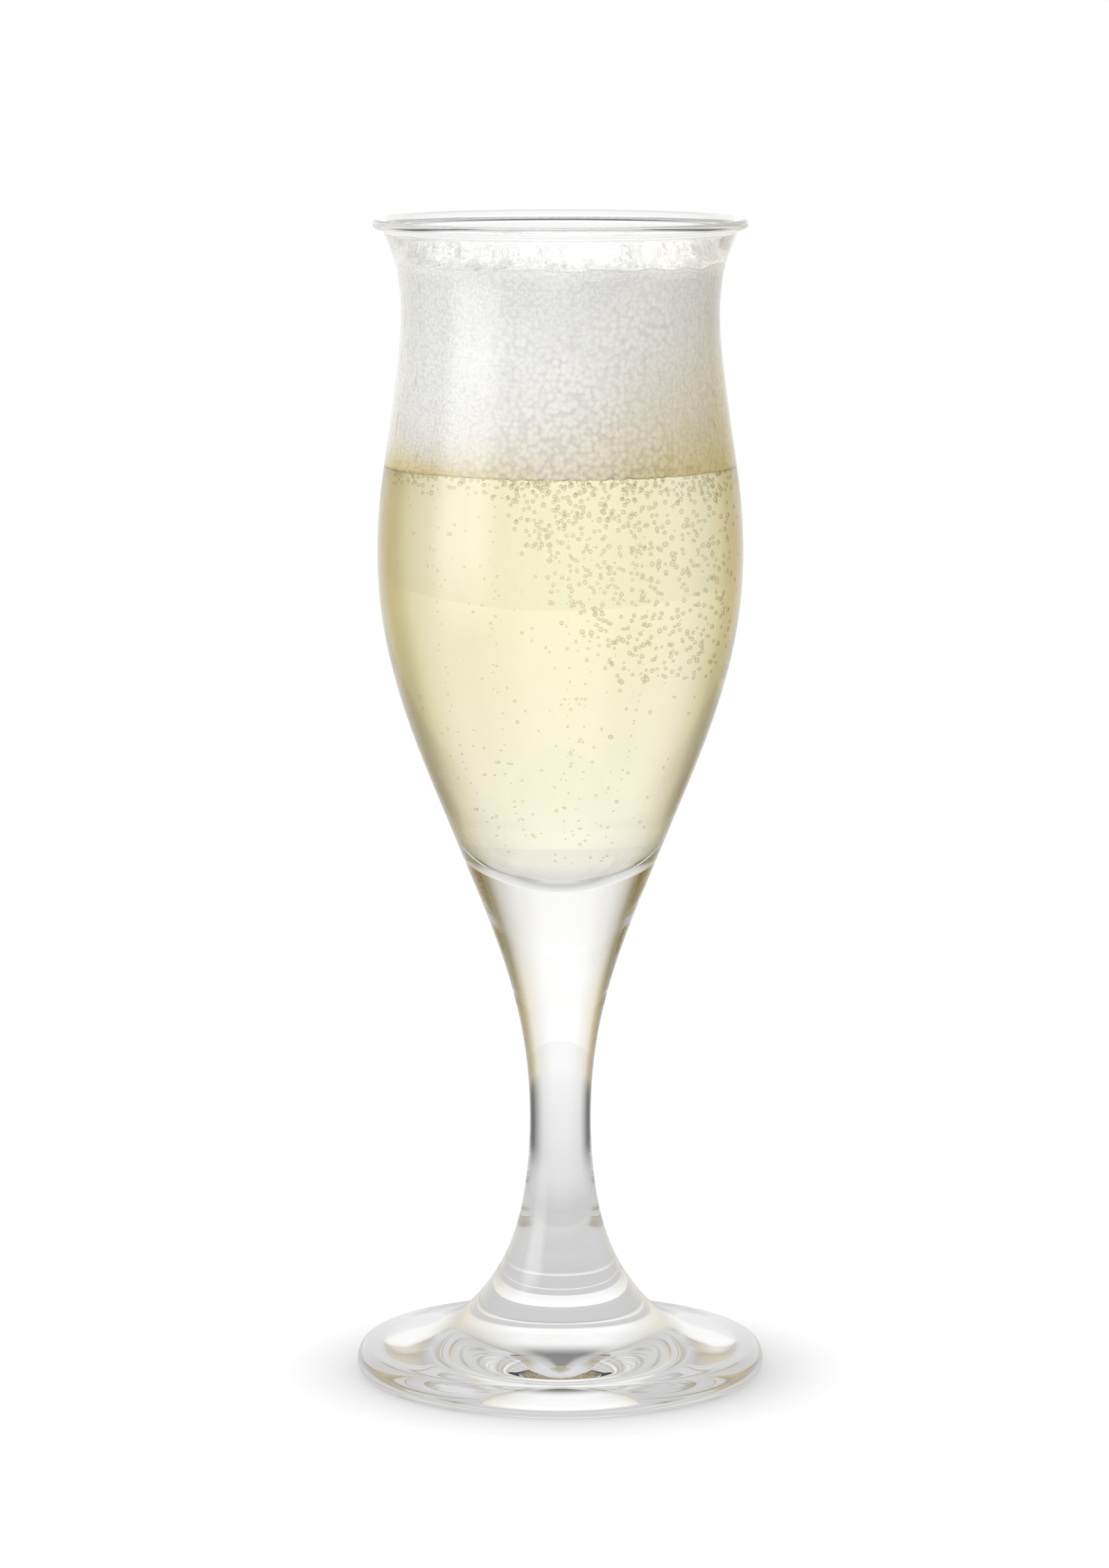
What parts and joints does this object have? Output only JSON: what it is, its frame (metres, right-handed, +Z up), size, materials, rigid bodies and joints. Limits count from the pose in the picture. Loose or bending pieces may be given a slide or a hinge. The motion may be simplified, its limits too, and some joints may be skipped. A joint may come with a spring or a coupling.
{
  "type": "glass of sparkling wine",
  "caption": "Stemmed tulip-bowl glass on a solid drawn stem and round foot, filled with pale sparkling wine under a deep head of white foam.",
  "frame": {"origin": "centre of the foot's underside, on the surface that the glass stands on", "axes": "+Z up along the glass's axis of revolution"},
  "size_m": [0.0688, 0.0688, 0.195],
  "materials": {
    "glass": "clear, blown and fire-polished",
    "wine": "clear pale straw-yellow liquid",
    "foam": "fine white foam"
  },
  "bodies": {
    "root": {"glass": "glass", "wine": "wine", "foam": "foam"}
  },
  "joints": []
}
